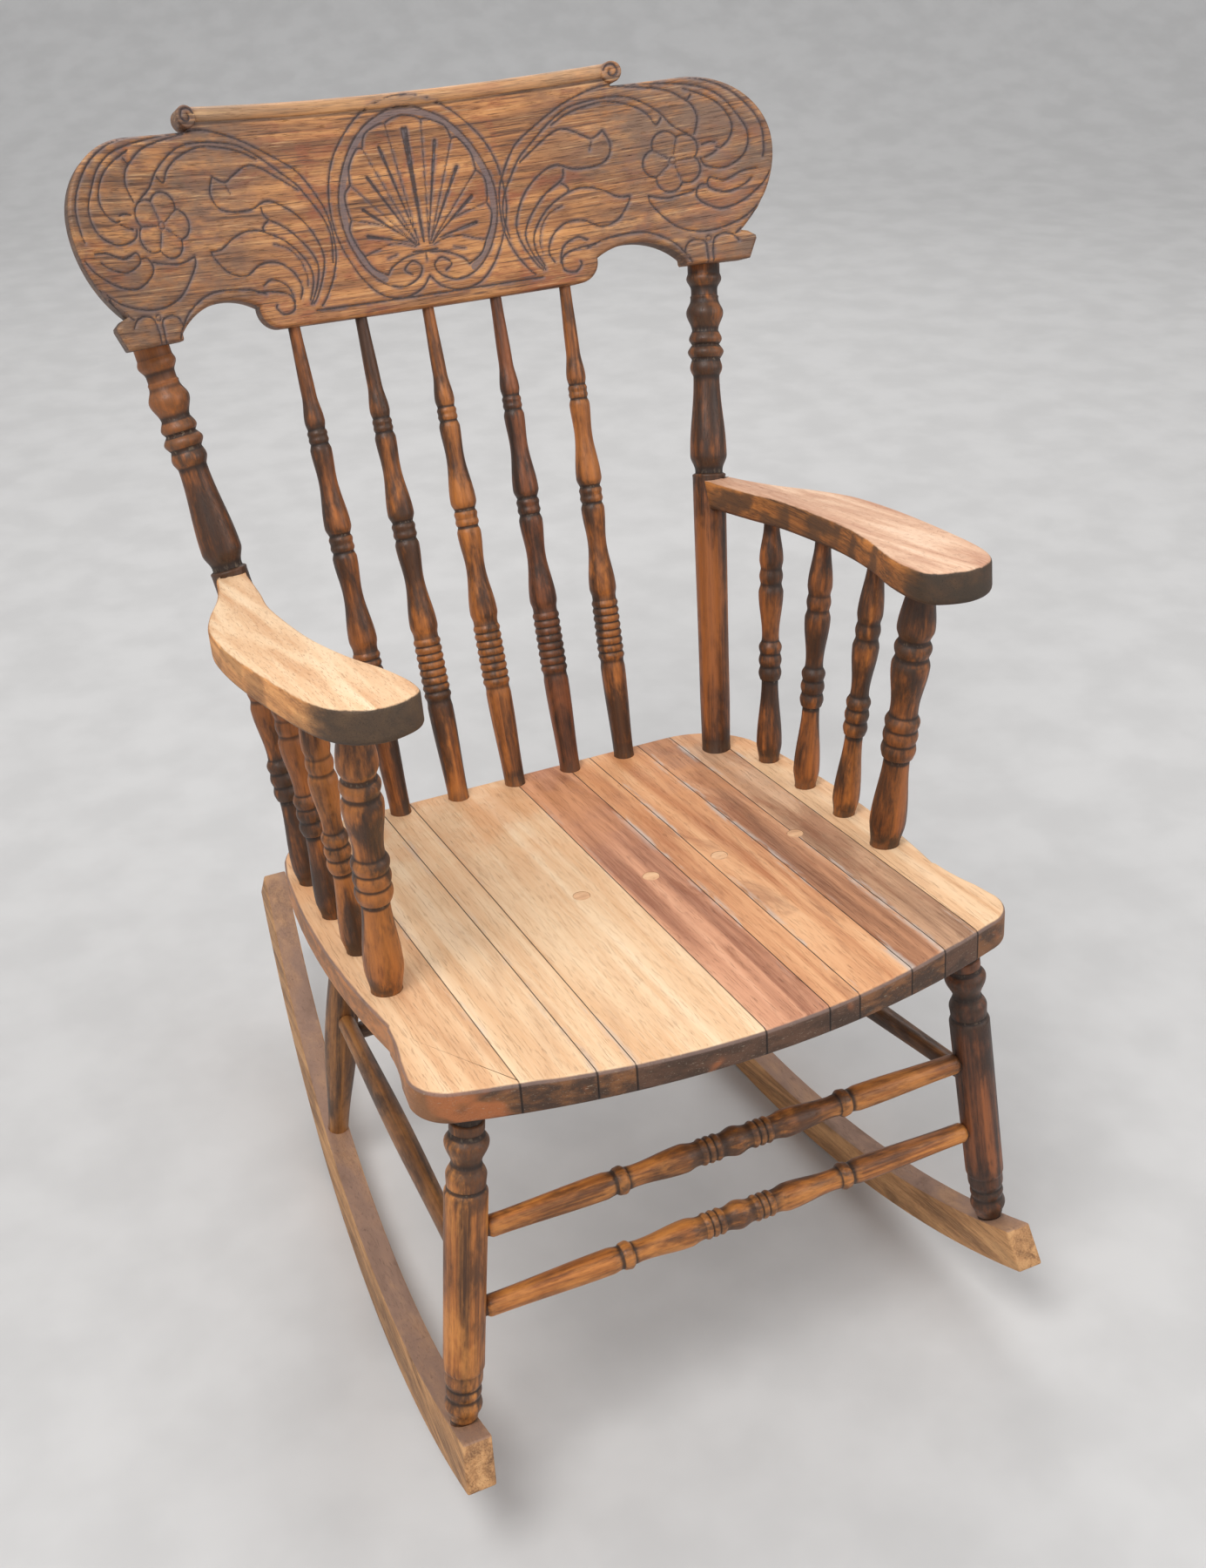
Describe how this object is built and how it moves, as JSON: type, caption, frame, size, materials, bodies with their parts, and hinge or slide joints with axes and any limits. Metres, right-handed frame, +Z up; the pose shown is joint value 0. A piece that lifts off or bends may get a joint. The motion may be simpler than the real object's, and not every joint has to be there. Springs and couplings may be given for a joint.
{
  "type": "rocking chair",
  "caption": "Wooden press back rocking chair: bent carved crest rail, turned spindles and posts, scooped plank seat, paddle arms on turned supports, legs on curved rockers.",
  "frame": {"origin": "on the floor, under the middle of the chair's bounding box", "axes": "+Z up, -Y towards the front of the chair, +X to the right of someone who faces its front"},
  "size_m": [0.648, 0.8524, 1.0306],
  "materials": {
    "pale_wood": "bare sanded wood, satin",
    "rose_wood": "bare sanded reddish wood, satin",
    "olive_wood": "bare sanded grey-brown wood, satin",
    "golden_wood": "old worn oil finish, golden brown",
    "brown_wood": "old worn oil finish, dark brown",
    "screw_steel": "plain steel"
  },
  "bodies": {
    "root": {"seat_board_1": "pale_wood", "seat_board_2": "pale_wood", "seat_board_3": "pale_wood", "seat_board_4": "pale_wood", "seat_board_5": "rose_wood", "seat_board_6": "olive_wood", "seat_board_7": "olive_wood", "seat_board_8": "rose_wood", "seat_board_9": "olive_wood", "seat_board_10": "pale_wood", "seat_plugs": "pale_wood", "crest_rail": "brown_wood", "left_post": "brown_wood", "right_post": "brown_wood", "back_spindle_1": "brown_wood", "back_spindle_2": "golden_wood", "back_spindle_3": "golden_wood", "back_spindle_4": "brown_wood", "back_spindle_5": "golden_wood", "left_arm": "pale_wood", "right_arm": "pale_wood", "left_arm_spindle_1": "brown_wood", "left_arm_spindle_2": "brown_wood", "left_arm_spindle_3": "brown_wood", "left_arm_support": "brown_wood", "right_arm_spindle_1": "brown_wood", "right_arm_spindle_2": "brown_wood", "right_arm_spindle_3": "brown_wood", "right_arm_support": "brown_wood", "left_front_leg": "golden_wood", "right_front_leg": "brown_wood", "left_rear_leg": "golden_wood", "right_rear_leg": "golden_wood", "left_rocker": "golden_wood", "right_rocker": "brown_wood", "upper_front_stretcher": "golden_wood", "lower_front_stretcher": "golden_wood", "left_side_stretcher": "brown_wood", "right_side_stretcher": "brown_wood", "rear_stretcher": "brown_wood", "frame_screws": "screw_steel"}
  },
  "joints": []
}
